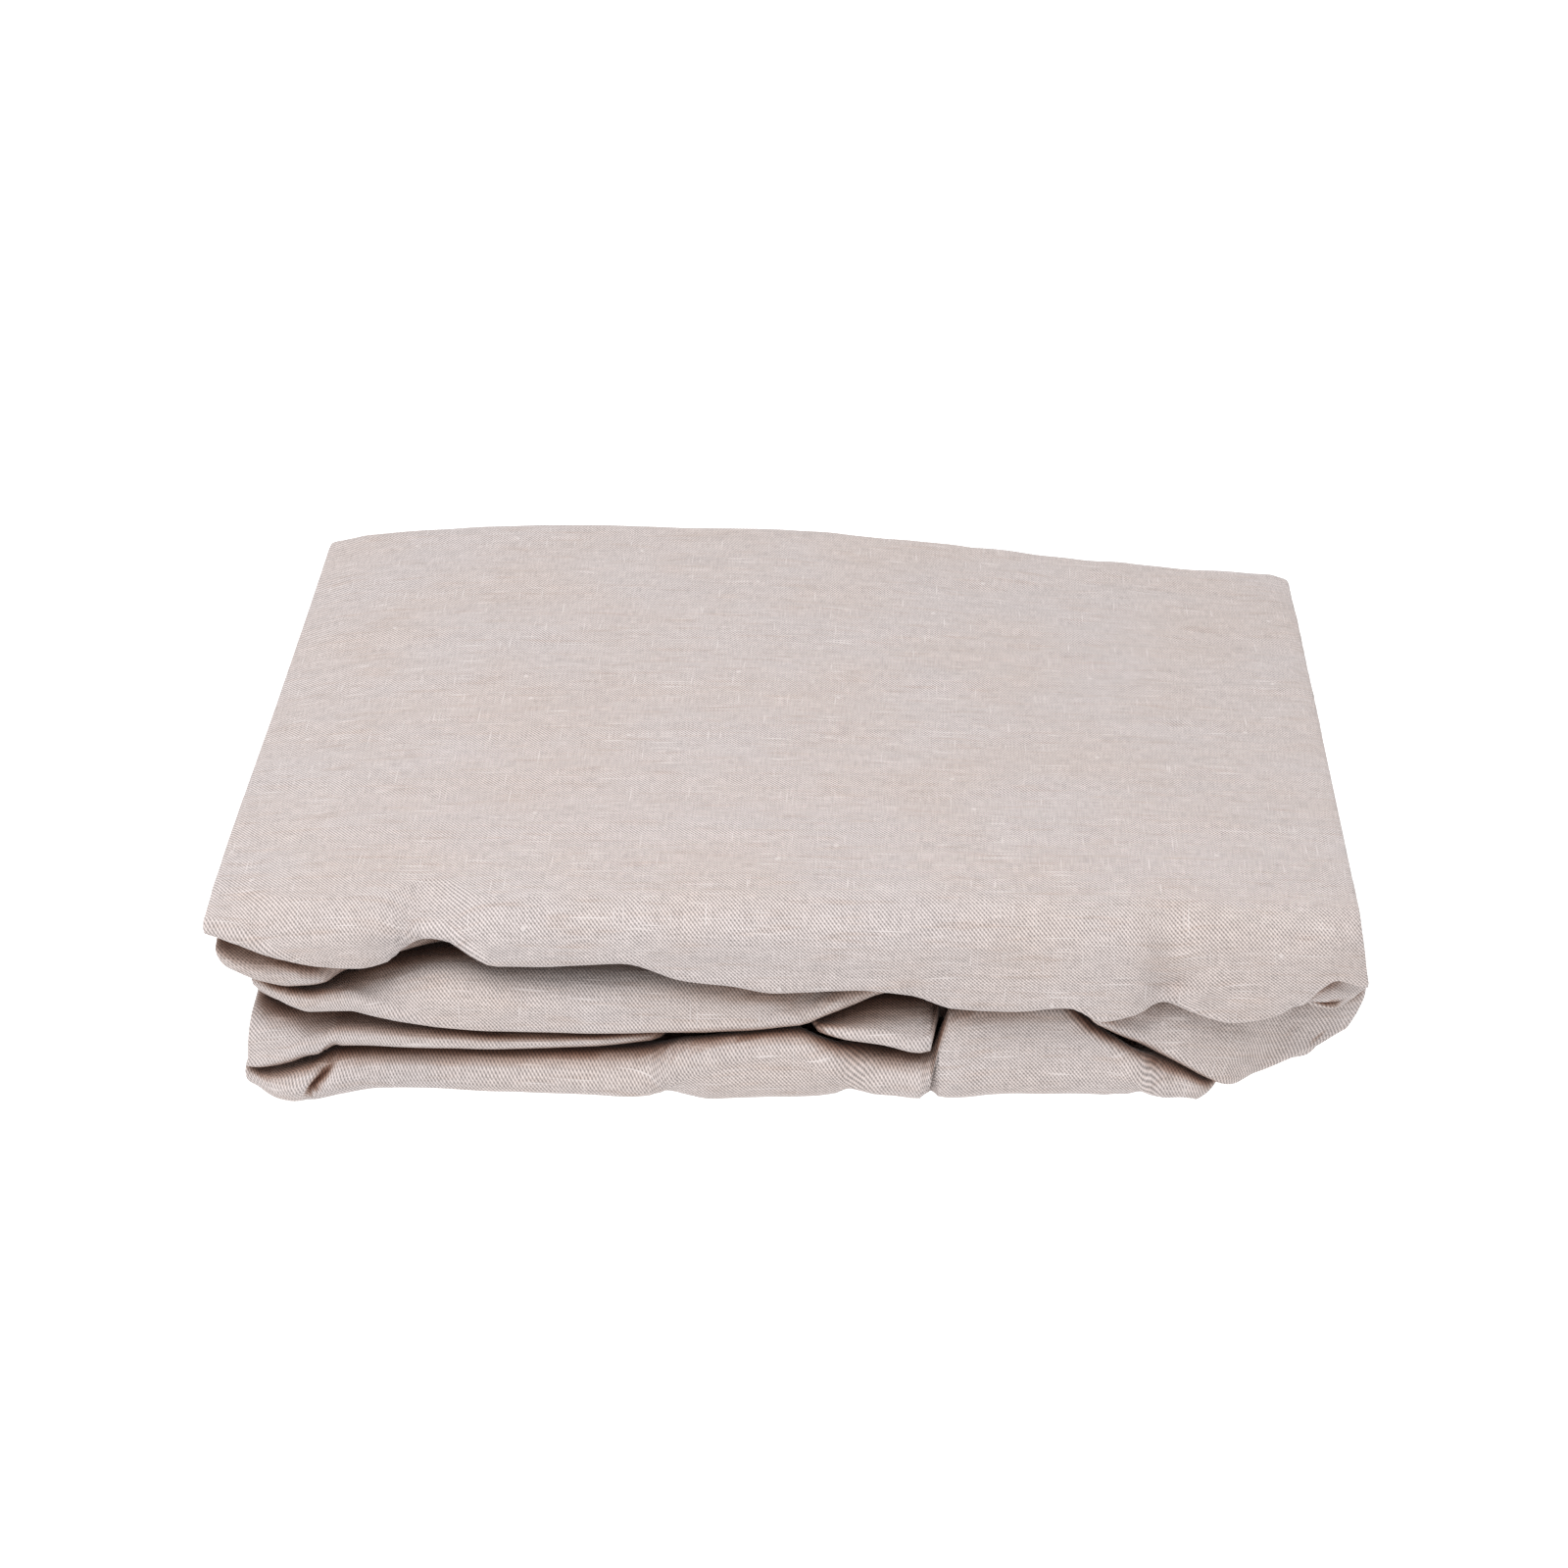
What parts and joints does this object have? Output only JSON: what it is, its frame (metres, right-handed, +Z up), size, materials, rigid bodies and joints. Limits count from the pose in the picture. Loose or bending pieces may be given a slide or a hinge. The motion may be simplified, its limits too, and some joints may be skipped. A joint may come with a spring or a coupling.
{
  "type": "folded fitted sheet",
  "caption": "Fitted bed sheet of washed linen, folded flat into a soft oblong pack with sagging folds along its front.",
  "frame": {"origin": "centre of the bounding box's underside, on the surface that the pack lies on", "axes": "+X to the right along the front folds, the long way; +Y from the front folds to the back edge; +Z up through the layers"},
  "size_m": [0.3874, 0.2818, 0.0882],
  "materials": {
    "washed_linen": "matt washed plain weave, dusty pinkish grey"
  },
  "bodies": {
    "root": {"fitted_sheet": "washed_linen"}
  },
  "joints": []
}
